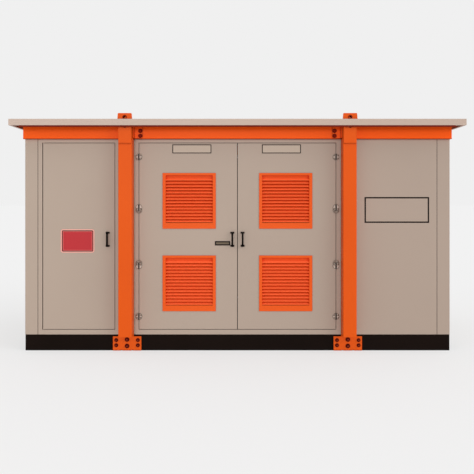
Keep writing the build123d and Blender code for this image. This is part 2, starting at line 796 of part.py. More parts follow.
with BuildPart() as leaf_hinge:
    add(hinge_disc.part)
    box_between(-hinge_radius, knuckle_clear, -hinge_thickness, 0, -hinge_radius, hinge_radius,
                mode=Mode.SUBTRACT)
    barrel(-knuckle_split + knuckle_play, knuckle_split - knuckle_play)
    box_between(0, knuckle_clear + knuckle_web_overlap,
                -hinge_thickness, -hinge_thickness + knuckle_web_depth,
                -knuckle_split + knuckle_play, knuckle_split - knuckle_play)
    with BuildSketch(Plane.XY.offset(-knuckle_split)):
        with Locations(barrel_axis):
            RegularPolygon(hinge_pin_radius + hinge_pin_play, knuckle_sides, major_radius=False)
    extrude(amount=2 * knuckle_split, mode=Mode.SUBTRACT)

with BuildPart() as left_frame_hinges:
    for level in hinge_levels:
        with Locations((-hinge_x, -half_depth, level)):
            add(frame_hinge.part)
with BuildPart() as left_leaf_hinges:
    for level in hinge_levels:
        with Locations((-hinge_x, -half_depth, level)):
            add(leaf_hinge.part)
with BuildPart() as right_leaf_hinges:
    mirror(left_leaf_hinges.part, about=Plane.YZ)
with BuildPart() as frame_hinges:
    add(left_frame_hinges.part)
    mirror(left_frame_hinges.part, about=Plane.YZ)
save(frame_hinges.part, "double_frame_hinges")
save(left_leaf_hinges.part, "double_left_hinges")
save(right_leaf_hinges.part, "double_right_hinges")

# Rear side: the front turned half round, with its doors shut
half_turn = (0, 0, 180)
with BuildPart() as rear_jambs:
    add(single_jambs.part, rotation=half_turn)
    add(double_jambs.part, rotation=half_turn)
with BuildPart() as rear_rails:
    add(single_rails.part, rotation=half_turn)
    add(double_rails.part, rotation=half_turn)
with BuildPart() as rear_panel:
    add(right_panel.part, rotation=half_turn)
with BuildPart() as rear_leaves:
    add(single_leaf.part, rotation=half_turn)
    add(left_leaf.part, rotation=half_turn)
    add(right_leaf.part, rotation=half_turn)
with BuildPart() as rear_louvres:
    add(louvres_left.part, rotation=half_turn)
    add(louvres_right.part, rotation=half_turn)
with BuildPart() as rear_handles:
    add(single_handle, rotation=half_turn)
    add(left_handle, rotation=half_turn)
    add(right_handle, rotation=half_turn)
with BuildPart() as shut_hinge:
    add(hinge_disc.part)
    barrel(-knuckle_top, knuckle_top)
with BuildPart() as shut_hinges:
    for x_middle in (-hinge_x, hinge_x):
        for level in hinge_levels:
            with Locations((x_middle, -half_depth, level)):
                add(shut_hinge.part)
with BuildPart() as rear_hinges:
    add(shut_hinges.part, rotation=half_turn)
save(rear_jambs.part, "rear_door_jambs")
save(rear_rails.part, "rear_door_rails")
save(rear_panel.part, "rear_plain_panel")
save(rear_leaves.part, "rear_door_leaves")
save(rear_louvres.part, "rear_louvres")
save(rear_handles.part, "rear_handles")
save(rear_hinges.part, "rear_hinges")
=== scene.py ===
"""The finish of a compact substation housing: painted steel, bolts, blank plates and door seals.

Metres, in the frame of the solids: +Z up, the front faces -Y and +X is to the right."""
import json
import math
import bpy
from mathutils import Matrix, Vector


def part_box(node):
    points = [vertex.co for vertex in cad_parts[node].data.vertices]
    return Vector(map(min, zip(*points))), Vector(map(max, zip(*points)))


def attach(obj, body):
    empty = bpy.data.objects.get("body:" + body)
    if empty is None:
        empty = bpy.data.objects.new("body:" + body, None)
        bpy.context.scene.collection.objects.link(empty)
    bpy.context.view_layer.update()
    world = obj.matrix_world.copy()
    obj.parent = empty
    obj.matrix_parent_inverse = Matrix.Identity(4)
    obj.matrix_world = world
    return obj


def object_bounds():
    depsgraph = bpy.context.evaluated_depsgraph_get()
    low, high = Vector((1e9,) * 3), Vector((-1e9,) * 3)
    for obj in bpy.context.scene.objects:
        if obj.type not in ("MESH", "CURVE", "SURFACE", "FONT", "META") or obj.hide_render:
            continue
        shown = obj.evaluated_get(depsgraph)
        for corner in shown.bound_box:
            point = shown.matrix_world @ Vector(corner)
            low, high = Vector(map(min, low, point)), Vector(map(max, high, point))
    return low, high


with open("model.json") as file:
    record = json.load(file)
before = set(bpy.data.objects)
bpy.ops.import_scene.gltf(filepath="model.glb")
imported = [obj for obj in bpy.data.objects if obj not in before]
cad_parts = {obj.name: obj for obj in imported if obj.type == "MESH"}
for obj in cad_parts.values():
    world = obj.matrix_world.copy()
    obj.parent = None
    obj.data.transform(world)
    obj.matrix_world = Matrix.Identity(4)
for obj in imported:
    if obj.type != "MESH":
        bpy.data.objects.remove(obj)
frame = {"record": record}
cad_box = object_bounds()

# Camera: level, before the middle of the front
camera_place = (0.0, -8.3, 1.676)
camera_lens = 47.72
sensor_width = 36.0
photo_width = 474
principal_column = 237.45
horizon_row = 202.0

# Bolts: washers, hexagons as shares of the washer's radius, radii across the washers, and places
washer_thickness = 0.004
washer_bevel = 0.001
washer_sides = 32
hexagon_sides = 6
hexagon_share = 0.78
hexagon_height_share = 0.50
core_border_share = 0.30
core_sink = 0.0004
head_chamfer = 0.003
head_chamfer_depth = 0.00105
foot_bolt_radius = 0.021
foot_middle_bolt_radius = 0.025
cleat_bolt_radius = 0.0225
lift_bolt_radius = 0.019
foot_half_width = 0.160
column_half_width = 0.075
foot_bolt_offset = 0.122
foot_bolt_levels = (0.060, 0.118)
foot_middle_bolt_levels = (0.052, 0.125)
cleat_bolt_x = 1.090
cleat_bolt_levels = (2.419, 2.475)
cleat_thickness = 0.010
lift_bolt_level = 2.515

# Lifting eyes
eye_level = 2.613
eye_radius = 0.018
bush_radius = 0.0235
bush_rise = 0.003
bush_end = 0.085
ring_steps = 40
merge_distance = 0.00001

# Plates and the painted rectangle: the middle's x and z, then width and height
plate_thickness = 0.002
plate_corner = 0.003
red_plate_corner = 0.026
film_corner = 0.002
film_rise = 0.0003
red_plate = (-1.806, 1.236, 0.380, 0.264)
left_name_plate = (-0.515, 2.276, 0.440, 0.100)
right_name_plate = (0.497, 2.276, 0.440, 0.100)
rating_plate = (-0.1685, 1.2095, 0.173, 0.049)
painted_frame = (1.801, 1.586, 0.730, 0.292)
painted_line = 0.016
paint_rise = 0.0004

# Hinges of the double doors
hinge_radius = 0.035
hinge_thickness = 0.008
barrel_radius = 0.0085
hinges_a_side = 4
hinge_screw_radius = 0.0048
hinge_screw_rise = 0.0014
hinge_screw_sides = 24
hinge_screw_dome = 0.0008
hinge_screw_land = 0.0018
hinge_socket_wall = 0.0002
hinge_socket_depth = 0.0008
hinge_screw_offset = 0.0210
hinge_screw_drop = 0.0155
# The pad ring is a dark edge put round each hinge as painted shade
pad_radius = 0.0360
pad_inner = 0.033
pad_thickness = 0.004

# Dark strip under the top frame, put there as painted shade
drip_height = 0.004
drip_rise = 0.0015
drip_bevel = 0.0009

# Dark rubber trim under the lip of the roof, put there as painted shade
trim_height = 0.018
trim_thickness = 0.006
trim_setback = 0.006
trim_bevel = 0.0018

# Sealant in the joints of the corner posts, and welds under the lifting plates
joint_width = 0.008
joint_sink = 0.0004
joint_depth = 0.006
joint_bevel = 0.0016
corner_post_width = 0.148
weld_leg = 0.008
weld_bevel = 0.0056
lift_plate_half = 0.070

# Door seals
seal_inset = 0.004
seal_width = 0.016
seal_thickness = 0.0072
seal_bevel = 0.0028
meeting_lip = 0.004
meeting_lip_bevel = 0.0012
lip_margin = 0.003

# Floor of the studio
floor_size = 600.0

# Least share of a direction along an axis, for faces and edges that are picked by their direction
alignment = 0.9

# Places on the frame
front_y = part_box("front_right_panel")[0].y
foot_low, foot_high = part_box("column_foot_plates")
column_x = foot_high.x - foot_half_width
cleat_face_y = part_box("front_top_beams")[0].y - cleat_thickness
lift_face_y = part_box("lifting_plates")[0].y
hinge_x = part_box("double_frame_hinges")[1].x - hinge_radius


def linear(hex_colour):
    """An sRGB hex colour as linear red, green, blue and an alpha of one."""
    channels = [int(hex_colour[start:start + 2], 16) / 255 for start in (1, 3, 5)]
    return [c / 12.92 if c <= 0.04045 else ((c + 0.055) / 1.055) ** 2.4 for c in channels] + [1.0]


def add_node(tree, kind, settings=None, links=None):
    """Adds a node, sets its properties and inputs, and links outputs to its inputs."""
    node = tree.nodes.new(kind)
    for name, value in (settings or {}).items():
        if isinstance(name, int) or name in node.inputs:
            node.inputs[name].default_value = value
        else:
            setattr(node, name, value)
    for name, output in (links or {}).items():
        tree.links.new(output, node.inputs[name])
    return node


def new_finish(name, constants):
    """A material with constants on its shader, and its tree, shader and Object coordinates."""
    material = bpy.data.materials.new(name)
    material.use_nodes = True
    tree = material.node_tree
    shader = tree.nodes["Principled BSDF"]
    for socket, value in constants.items():
        shader.inputs[socket].default_value = value
    place = add_node(tree, "ShaderNodeTexCoord").outputs["Object"]
    return material, tree, shader, place


def painted_corner_shade(tree, colour, shade_colour, reach):
    """Painted shade in the corners: turns a colour towards a shade colour within a reach of what it meets,
    by ambient occlusion.
    """
    hidden = add_node(tree, "ShaderNodeAmbientOcclusion", {"samples": 8, "Distance": reach})
    unshaded_share = add_node(tree, "ShaderNodeMapRange", {"From Min": 0.30, "From Max": 0.92},
                     {"Value": hidden.outputs["AO"]})
    return add_node(tree, "ShaderNodeMix", {"data_type": "RGBA", 6: linear(shade_colour)},
                    {0: unshaded_share.outputs[0], 7: colour}).outputs[2]


def paint_film(tree, shader, place, light, dark, patch, peel, peel_height, gloss_range, light_falloff=0.0,
               shade_colour=None, reach=0.03):
    """A sprayed film: colour that drifts over patches, an orange peel and uneven gloss.

    Patch and peel are their widths in metres. With a light falloff the film also turns from the light to
    the dark colour along the cabin, as painted light brighter at the left end, and with a shade colour it is
    painted darker in corners and seams, as painted shade."""
    drift = add_node(tree, "ShaderNodeTexNoise", {"Scale": 1 / patch, "Detail": 3.0}, {"Vector": place})
    parts = add_node(tree, "ShaderNodeSeparateXYZ", None, {"Vector": place})
    # Painted light: the film turns paler towards the left end of the cabin and darker towards the right
    along = add_node(tree, "ShaderNodeMapRange",
                     {"From Min": cad_box[0][0], "From Max": cad_box[1][0], "To Max": light_falloff},
                     {"Value": parts.outputs[0]})
    share = add_node(tree, "ShaderNodeMath", {"operation": "MULTIPLY_ADD", 1: 1.0 - light_falloff},
                     {0: drift.outputs[0], 2: along.outputs[0]})
    colour = add_node(tree, "ShaderNodeMix", {"data_type": "RGBA", 6: linear(light), 7: linear(dark)},
                      {0: share.outputs[0]})
    film = painted_corner_shade(tree, colour.outputs[2], shade_colour, reach) if shade_colour else colour.outputs[2]
    tree.links.new(film, shader.inputs["Base Color"])
    skin = add_node(tree, "ShaderNodeTexNoise", {"Scale": 1 / peel, "Detail": 2.0}, {"Vector": place})
    bump = add_node(tree, "ShaderNodeBump", {"Strength": 0.35, "Distance": peel_height},
                    {"Height": skin.outputs[0]})
    tree.links.new(bump.outputs[0], shader.inputs["Normal"])
    gloss = add_node(tree, "ShaderNodeMapRange", {"To Min": gloss_range[0], "To Max": gloss_range[1]},
                     {"Value": drift.outputs[0]})
    tree.links.new(gloss.outputs[0], shader.inputs["Roughness"])


def stone_powder_coat():
    """Polyester powder coat on folded sheet: a dull stone colour with a fine orange peel."""
    material, tree, shader, place = new_finish("stone_powder_coat", {"Specular IOR Level": 0.30})
    # The shade colour is painted shade in the seams and corners of the walls
    paint_film(tree, shader, place, "#A99788", "#9D8B7E", patch=1.1, peel=0.004, peel_height=0.00025,
               gloss_range=(0.42, 0.52), light_falloff=0.6, shade_colour="#66574C", reach=0.012)
    return material


def roof_powder_coat():
    """The same coat on the roof's folded trays, painted a shade lighter all over as the light from the sky
    that it catches.
    """
    material, tree, shader, place = new_finish("roof_powder_coat", {"Specular IOR Level": 0.30})
    # The shade colour is painted shade in the seams and corners of the roof
    paint_film(tree, shader, place, "#BBA698", "#AF9A8C", patch=0.9, peel=0.004, peel_height=0.00025,
               gloss_range=(0.42, 0.52), light_falloff=0.6, shade_colour="#5E4C42", reach=0.020)
    return material


def orange_enamel(name, light, dark, reach):
    """Alkyd enamel sprayed on hot rolled sections: a full orange, smooth and half glossy."""
    material, tree, shader, place = new_finish(name, {"Specular IOR Level": 0.07})
    # The shade colour is painted shade where the orange sections meet other parts
    paint_film(tree, shader, place, light, dark, patch=0.7, peel=0.006, peel_height=0.0003,
               gloss_range=(0.36, 0.44), light_falloff=0.3, shade_colour="#6E1A06", reach=reach)
    return material


def louvre_enamel():
    """The same enamel on the louvres, painted paler on the upward-facing vanes as the light from above that
    falls on them.
    """
    material, tree, shader, place = new_finish("orange_louvre_enamel", {"Specular IOR Level": 0.07})
    paint_film(tree, shader, place, "#DE571D", "#D85119", patch=0.7, peel=0.006, peel_height=0.0003,
               gloss_range=(0.36, 0.44), light_falloff=0.3)
    enamel = shader.inputs["Base Color"].links[0].from_socket
    # Painted light: faces that look upwards turn towards a paler orange
    facing = add_node(tree, "ShaderNodeSeparateXYZ", None,
                      {"Vector": add_node(tree, "ShaderNodeNewGeometry").outputs["Normal"]})
    top_light_share = add_node(tree, "ShaderNodeMapRange", {"From Min": 0.1, "From Max": 0.9, "To Max": 0.8},
                    {"Value": facing.outputs[2]})
    top_lit = add_node(tree, "ShaderNodeMix", {"data_type": "RGBA", 7: linear("#FF643E")},
                     {0: top_light_share.outputs[0], 6: enamel})
    # Painted shade between the vanes and in the corners of the louvre frames
    corner_shaded = painted_corner_shade(tree, top_lit.outputs[2], shade_colour="#D02C00", reach=0.045)
    tree.links.new(corner_shaded, shader.inputs["Base Color"])
    return material


def black_chassis_paint():
    """Bituminous chassis paint on the base channels: nearly black and rather dull."""
    material, tree, shader, place = new_finish("black_chassis_paint", {"Specular IOR Level": 0.04})
    # The shade colour is painted shade in the corners of the base channels
    paint_film(tree, shader, place, "#170D09", "#0F0805", patch=0.5, peel=0.005, peel_height=0.0004,
               gloss_range=(0.50, 0.62), shade_colour="#050302", reach=0.04)
    return material


def grey_floor_primer():
    """Zinc phosphate primer on the floor plate: flat grey with scuffed patches."""
    material, tree, shader, place = new_finish("grey_floor_primer", {"Specular IOR Level": 0.25})
    paint_film(tree, shader, place, "#6D7070", "#5B5E5F", patch=0.25, peel=0.003, peel_height=0.0003,
               gloss_range=(0.55, 0.75))
    return material


def sprayed_zinc():
    """Die-cast zinc sprayed with the doors: stone on its faces, rims painted dark as their shade, and a dark
    barrel.
    """
    face_share = 0.95
    ripple_width = 0.010
    material, tree, shader, place = new_finish("sprayed_zinc", {"Specular IOR Level": 0.45})
    parts = add_node(tree, "ShaderNodeSeparateXYZ", None, {"Vector": place})
    side = add_node(tree, "ShaderNodeMath", {"operation": "ABSOLUTE"}, {0: parts.outputs[0]})
    off_axis = add_node(tree, "ShaderNodeMath", {"operation": "SUBTRACT", 1: hinge_x}, {0: side.outputs[0]})
    reach = add_node(tree, "ShaderNodeMath", {"operation": "ABSOLUTE"}, {0: off_axis.outputs[0]})
    barrel = add_node(tree, "ShaderNodeMath", {"operation": "LESS_THAN", 1: barrel_radius},
                      {0: reach.outputs[0]})
    facing = add_node(tree, "ShaderNodeSeparateXYZ", None,
                      {"Vector": add_node(tree, "ShaderNodeNewGeometry").outputs["Normal"]})
    flat = add_node(tree, "ShaderNodeMath", {"operation": "ABSOLUTE"}, {0: facing.outputs[1]})
    face = add_node(tree, "ShaderNodeMath", {"operation": "GREATER_THAN", 1: face_share},
                    {0: flat.outputs[0]})
    # Painted shade: faces that do not look along Y, the rims, are dark brown
    plate = add_node(tree, "ShaderNodeMix", {"data_type": "RGBA", 6: linear("#4A382E"),
                                             7: linear("#B3A395")}, {0: face.outputs[0]})
    colour = add_node(tree, "ShaderNodeMix", {"data_type": "RGBA", 7: linear("#1E1510")},
                      {0: barrel.outputs[0], 6: plate.outputs[2]})
    tree.links.new(colour.outputs[2], shader.inputs["Base Color"])
    ripple = add_node(tree, "ShaderNodeTexNoise", {"Scale": 1 / ripple_width, "Detail": 1.0},
                      {"Vector": place})
    rough = add_node(tree, "ShaderNodeMapRange", {"To Min": 0.26, "To Max": 0.38},
                     {"Value": ripple.outputs[0]})
    tree.links.new(rough.outputs[0], shader.inputs["Roughness"])
    bump = add_node(tree, "ShaderNodeBump", {"Strength": 0.25, "Distance": 0.0004},
                    {"Height": ripple.outputs[0]})
    tree.links.new(bump.outputs[0], shader.inputs["Normal"])
    return material


def dulled_screw():
    """Dulled steel of the hinge screws: a warm grey with a fine turned grain."""
    grain_width = 0.0006
    material, tree, shader, place = new_finish("dulled_screw", {"Metallic": 0.6,
                                                                "Base Color": linear("#7A6C60")})
    grain = add_node(tree, "ShaderNodeTexNoise", {"Scale": 1 / grain_width, "Detail": 2.0},
                     {"Vector": place})
    rough = add_node(tree, "ShaderNodeMapRange", {"To Min": 0.22, "To Max": 0.40},
                     {"Value": grain.outputs[0]})
    tree.links.new(rough.outputs[0], shader.inputs["Roughness"])
    return material


def black_nylon():
    """Moulded glass-filled nylon of the pull handles: black, with a fine spark-eroded grain."""
    grain_width = 0.0012
    material, tree, shader, place = new_finish("black_nylon", {"Specular IOR Level": 0.03,
                                                               "Base Color": linear("#080403")})
    grain = add_node(tree, "ShaderNodeTexNoise", {"Scale": 1 / grain_width, "Detail": 2.0},
                     {"Vector": place})
    bump = add_node(tree, "ShaderNodeBump", {"Strength": 0.30, "Distance": 0.0002},
                    {"Height": grain.outputs[0]})
    tree.links.new(bump.outputs[0], shader.inputs["Normal"])
    rough = add_node(tree, "ShaderNodeMapRange", {"To Min": 0.40, "To Max": 0.55},
                     {"Value": grain.outputs[0]})
    tree.links.new(rough.outputs[0], shader.inputs["Roughness"])
    return material


def oxide_red_steel(name, light, dark):
    """Red oxide paint on bolts and washers: dark brown red, thin and dull over the steel."""
    material, tree, shader, place = new_finish(name, {"Specular IOR Level": 0.05})
    paint_film(tree, shader, place, light, dark, patch=0.02, peel=0.002, peel_height=0.0003,
               gloss_range=(0.60, 0.75))
    return material


def coloured_film(name, light, dark, specular):
    """Laminate, line paint or sealant: a thin coloured film with a faint brushed grain along X."""
    material, tree, shader, place = new_finish(name, {"Specular IOR Level": specular,
                                                      "Roughness": 0.45})
    stretch = add_node(tree, "ShaderNodeMapping", {"Scale": (8.0, 200.0, 700.0)}, {"Vector": place})
    grain = add_node(tree, "ShaderNodeTexNoise", {"Scale": 1.0, "Detail": 2.0},
                     {"Vector": stretch.outputs[0]})
    colour = add_node(tree, "ShaderNodeMix", {"data_type": "RGBA", 6: linear(light), 7: linear(dark)},
                      {0: grain.outputs[0]})
    tree.links.new(colour.outputs[2], shader.inputs["Base Color"])
    return material


def seal_rubber():
    """Extruded EPDM rubber of the door seals: matt black with a faint bloom."""
    material, tree, shader, place = new_finish("seal_rubber", {"Specular IOR Level": 0.20})
    paint_film(tree, shader, place, "#1B1B1B", "#242424", patch=0.06, peel=0.001, peel_height=0.0001,
               gloss_range=(0.70, 0.85))
    return material


def brown_shade_strip_rubber():
    """EPDM of the dark strips under the roof's lip and on the top frame: a dull red brown, painted shade
    lines.
    """
    material, tree, shader, place = new_finish("brown_shade_strip_rubber", {"Specular IOR Level": 0.10})
    paint_film(tree, shader, place, "#74200F", "#661B0D", patch=0.05, peel=0.001, peel_height=0.0001,
               gloss_range=(0.65, 0.80))
    return material


# One finish for each material slot of the record, and for the nodes with a finish of their own
finishes = {
    "wall_cream": stone_powder_coat(),
    "roof_cream": roof_powder_coat(),
    # The frame's enamel is painted lighter than the same enamel on the columns, as painted light against the
    # shade that the roof casts on the beams
    "frame_orange": orange_enamel("orange_enamel", "#F65C10", "#EE530E", reach=0.018),
    "base_black": black_chassis_paint(),
    "floor_steel": grey_floor_primer(),
    "hinge_chrome": sprayed_zinc(),
    "handle_black": black_nylon(),
}
column_orange = orange_enamel("orange_column_enamel", "#D9550F", "#CC4D12", reach=0.02)
louvre_orange = louvre_enamel()
own_finish = {
    "lifting_columns": column_orange, "column_foot_plates": column_orange, "lifting_plates": column_orange,
    "double_left_louvres": louvre_orange, "double_right_louvres": louvre_orange,
    "rear_louvres": louvre_orange,
}

# Finishes of the pieces that are added here
# Washers painted darker than the heads as the shade round them, and paler cores as painted highlight on the
# heads
bolt_red = oxide_red_steel("oxide_red_bolt", "#841B0B", "#741608")
dark_bolt_red = oxide_red_steel("dark_red_bolt", "#5C0F06", "#4E0B04")
washer_red = oxide_red_steel("oxide_red_washer", "#460904", "#3A0703")
core_highlight_red = oxide_red_steel("highlight_red_bolt_core", "#8E3A28", "#7C2F20")
plate_red = coloured_film("red_laminate", "#B6282E", "#A92229", specular=0.20)
plate_dark_red = coloured_film("dark_red_laminate", "#4A0A0E", "#40080B", specular=0.20)
plate_pink = coloured_film("pale_red_laminate", "#CE625D", "#C45954", specular=0.20)
plate_blush = coloured_film("blush_laminate", "#E6A698", "#DF9D90", specular=0.20)
plate_stone = coloured_film("stone_laminate", "#B2A090", "#A99787", specular=0.25)
plate_black = coloured_film("black_laminate", "#140C09", "#1C130F", specular=0.08)
plate_brown = coloured_film("brown_laminate", "#6B5D4C", "#5E5142", specular=0.15)
joint_black = coloured_film("black_sealant", "#140C09", "#1C130F", specular=0.08)
line_black = coloured_film("black_line_paint", "#100806", "#160D0A", specular=0.06)
# Brown pad: painted shade round the edges of the hinges
pad_shade_brown = coloured_film("brown_nylon_pad_shade", "#837163", "#776659", specular=0.20)
rubber = seal_rubber()
shade_strip_rubber = brown_shade_strip_rubber()
screw_steel = dulled_screw()

for subpart in frame["record"]["subparts"]:
    name = subpart["node"]
    for holder in bpy.data.objects[name].material_slots:
        holder.material = own_finish.get(name, finishes[subpart["material_slot"]])


def start_piece(name, material):
    """Names the primitive just added, bakes its place into its mesh and gives it a material."""
    piece = bpy.context.object
    piece.name = name
    bpy.ops.object.transform_apply(location=True, rotation=True, scale=True)
    piece.data.materials.append(material)
    return piece


def block(name, low, high, material):
    """A block between two corners, alone selected and active."""
    low, high = Vector(low), Vector(high)
    bpy.ops.object.select_all(action="DESELECT")
    bpy.ops.mesh.primitive_cube_add(size=1, location=(low + high) / 2)
    bpy.context.object.scale = high - low
    return start_piece(name, material)


def edit(piece, kind, test):
    """Opens the piece in edit mode, with the faces or edges that pass the test selected."""
    bpy.ops.object.select_all(action="DESELECT")
    piece.select_set(True)
    bpy.context.view_layer.objects.active = piece
    bpy.ops.object.mode_set(mode="EDIT")
    bpy.ops.mesh.select_mode(type=kind)
    bpy.ops.mesh.select_all(action="DESELECT")
    bpy.ops.object.mode_set(mode="OBJECT")
    if kind == "FACE":
        for face in piece.data.polygons:
            face.select = test(face.center, face.normal)
    else:
        points = piece.data.vertices
        for edge in piece.data.edges:
            first, second = (points[number].co for number in edge.vertices)
            edge.select = test((first + second) / 2, (second - first).normalized())
    bpy.ops.object.mode_set(mode="EDIT")


def close_edit():
    """Leaves edit mode."""
    bpy.ops.object.mode_set(mode="OBJECT")


def faces_front(centre, normal):
    """A test for faces that look towards -Y."""
    return normal.y < -alignment


def runs_along(run, axis):
    """Whether an edge runs along X, Y or Z, which are 0, 1 and 2."""
    return abs(run[axis]) > alignment


def join(pieces):
    """Joins pieces into the first of them."""
    bpy.ops.object.select_all(action="DESELECT")
    for piece in pieces:
        piece.select_set(True)
    bpy.context.view_layer.objects.active = pieces[0]
    bpy.ops.object.join()
    return pieces[0]


def copy_to(piece, name, shift):
    """A copy of a piece with its own mesh, moved in its mesh."""
    twin = piece.copy()
    twin.data = piece.data.copy()
    twin.name = name
    twin.data.transform(Matrix.Translation(shift))
    bpy.context.collection.objects.link(twin)
    return twin


def disc(name, radius, depth, sides, back, material):
    """A short cylinder along Y whose back is at a given y, alone selected and active."""
    bpy.ops.object.select_all(action="DESELECT")
    bpy.ops.mesh.primitive_cylinder_add(vertices=sides, radius=radius, depth=depth,
                                        location=(0, back - depth / 2, 0), rotation=(math.pi / 2, 0, 0))
    return start_piece(name, material)


def hex_bolt(name, radius, hexagon, core):
    """A hexagon head on a flat washer, seated on the plane y = 0.

    The hexagon and its core each have their finish, so that the core can be painted paler as a highlight."""
    washer = disc(name, radius, washer_thickness, washer_sides, 0.0, washer_red)
    edit(washer, "FACE", faces_front)
    bpy.ops.mesh.bevel(offset=washer_bevel, segments=2)
    close_edit()
    head = disc(name + "_head", hexagon_share * radius, hexagon_height_share * radius, hexagon_sides,
                -washer_thickness, hexagon)
    edit(head, "FACE", faces_front)
    bpy.ops.mesh.inset(thickness=head_chamfer, depth=head_chamfer_depth)
    bpy.ops.mesh.inset(thickness=core_border_share * radius, depth=-core_sink)
    head.data.materials.append(core)
    head.active_material_index = 1
    bpy.ops.object.material_slot_assign()
    close_edit()
    return join([washer, head])


def bolt_group(name, groups, turn):
    """Bolts or bushes of given models at given places, as one piece on the cabin."""
    copies = [copy_to(model, name, place) for model, places in groups for place in places]
    group = join(copies)
    group.name = name
    group.data.transform(Matrix.Rotation(turn, 4, "Z"))
    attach(group, "cabin")


foot_bolt = hex_bolt("foot_bolt", foot_bolt_radius, dark_bolt_red, core_highlight_red)
foot_middle_bolt = hex_bolt("foot_middle_bolt", foot_middle_bolt_radius, dark_bolt_red, core_highlight_red)
cleat_bolt = hex_bolt("cleat_bolt", cleat_bolt_radius, bolt_red, bolt_red)
lift_bolt = hex_bolt("lift_bolt", lift_bolt_radius, dark_bolt_red, washer_red)


def lathe_ring(name, inner, outer, back, front, material, turn=2 * math.pi):
    """A flat ring about the Y axis, or the part of one, spun from its rectangular section."""
    bpy.ops.object.select_all(action="DESELECT")
    bpy.ops.mesh.primitive_plane_add(size=1, location=((inner + outer) / 2, (back + front) / 2, 0))
    bpy.context.object.scale = (outer - inner, back - front, 1)
    ring = start_piece(name, material)
    edit(ring, "FACE", lambda centre, normal: True)
    bpy.ops.mesh.delete(type="ONLY_FACE")
    bpy.ops.mesh.select_mode(type="EDGE")
    bpy.ops.mesh.select_all(action="SELECT")
    bpy.ops.mesh.spin(steps=ring_steps, angle=turn, center=(0, 0, 0), axis=(0, 1, 0))
    bpy.ops.mesh.select_all(action="SELECT")
    bpy.ops.mesh.remove_doubles(threshold=merge_distance)
    bpy.ops.mesh.fill_holes(sides=4)
    bpy.ops.mesh.normals_make_consistent(inside=False)
    close_edit()
    return ring


bush = lathe_ring("eye_bush", eye_radius, bush_radius, bush_end, -bush_rise, bolt_red)

for side, turn in (("front", 0.0), ("rear", math.pi)):
    for hand, x in (("left", -column_x), ("right", column_x)):
        outer = [(x + shift, foot_low.y, level) for shift in (-foot_bolt_offset, foot_bolt_offset)
                 for level in foot_bolt_levels]
        middle = [(x, foot_low.y, level) for level in foot_middle_bolt_levels]
        bolt_group(f"{side}_{hand}_foot_bolts", [(foot_bolt, outer), (foot_middle_bolt, middle)], turn)
        sign = -1 if x < 0 else 1
        places = [(sign * cleat_bolt_x, cleat_face_y, level) for level in cleat_bolt_levels]
        bolt_group(f"{side}_{hand}_cleat_bolts", [(cleat_bolt, places)], turn)
        bolt_group(f"{side}_{hand}_lifting_bolt", [(lift_bolt, [(x, lift_face_y, lift_bolt_level)])], turn)
        bolt_group(f"{side}_{hand}_eye_bush", [(bush, [(x, lift_face_y, eye_level)])], turn)

for model in (foot_bolt, foot_middle_bolt, cleat_bolt, lift_bolt, bush):
    bpy.data.objects.remove(model)


def hinge_screw():
    """A domed screw head with a round socket, seated on the plane y = 0."""
    head = disc("hinge_screw", hinge_screw_radius, hinge_screw_rise, hinge_screw_sides, 0.0, screw_steel)
    edit(head, "FACE", faces_front)
    bpy.ops.mesh.bevel(offset=hinge_screw_dome, segments=3)
    close_edit()
    edit(head, "FACE", faces_front)
    bpy.ops.mesh.inset(thickness=hinge_screw_land)
    bpy.ops.mesh.inset(thickness=hinge_socket_wall, depth=-hinge_socket_depth)
    close_edit()
    return head


def hinge_fixings(name, sides, halves, body, turn=0.0):
    """Two screws and half a brown pad ring on each half of each hinge; the pad's dark edge round the hinge
    is painted shade.

    Sides are -1 or 1. A half is 1 where it is on the frame's side and -1 on the leaf's."""
    low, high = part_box("double_frame_hinges")
    first, last = low.z + hinge_radius, high.z - hinge_radius
    model = hinge_screw()
    pad_start = lathe_ring("hinge_shade_pad", pad_inner, pad_radius, 0.0, -pad_thickness, pad_shade_brown, math.pi)
    copies = []
    for side in sides:
        for number in range(hinges_a_side):
            level = first + number * (last - first) / (hinges_a_side - 1)
            for half in halves:
                for drop in (-1, 1):
                    place = (side * (hinge_x + half * hinge_screw_offset), front_y - hinge_thickness,
                             level + drop * hinge_screw_drop)
                    copies.append(copy_to(model, name, place))
                pad = copy_to(pad_start, name, (0, 0, 0))
                pad.data.transform(Matrix.Rotation(side * half * math.pi / 2, 4, "Y"))
                pad.data.transform(Matrix.Translation((side * hinge_x, front_y, level)))
                copies.append(pad)
    bpy.data.objects.remove(model)
    bpy.data.objects.remove(pad_start)
    fixings = join(copies)
    fixings.name = name
    fixings.data.transform(Matrix.Rotation(turn, 4, "Z"))
    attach(fixings, body)


hinge_fixings("frame_hinge_screws", (-1, 1), (1,), "cabin")
hinge_fixings("left_hinge_screws", (-1,), (-1,), "double_door_left")
hinge_fixings("right_hinge_screws", (1,), (-1,), "double_door_right")
hinge_fixings("rear_hinge_screws", (-1, 1), (-1, 1), "cabin", math.pi)


def drip_shade_strip(name, run_low, run_high, face_y, turn):
    """A dark strip along the lower edge of the top frame, on a face at -Y, put there as painted shade under
    the beam.
    """
    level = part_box("front_top_beams")[0].z
    strip = block(name, (run_low, face_y - drip_rise, level), (run_high, face_y, level + drip_height),
                  shade_strip_rubber)
    edit(strip, "EDGE", lambda centre, run: runs_along(run, 0) and centre.y < face_y - drip_rise / 2)
    bpy.ops.mesh.bevel(offset=drip_bevel, segments=2)
    close_edit()
    strip.data.transform(Matrix.Rotation(turn, 4, "Z"))
    return strip


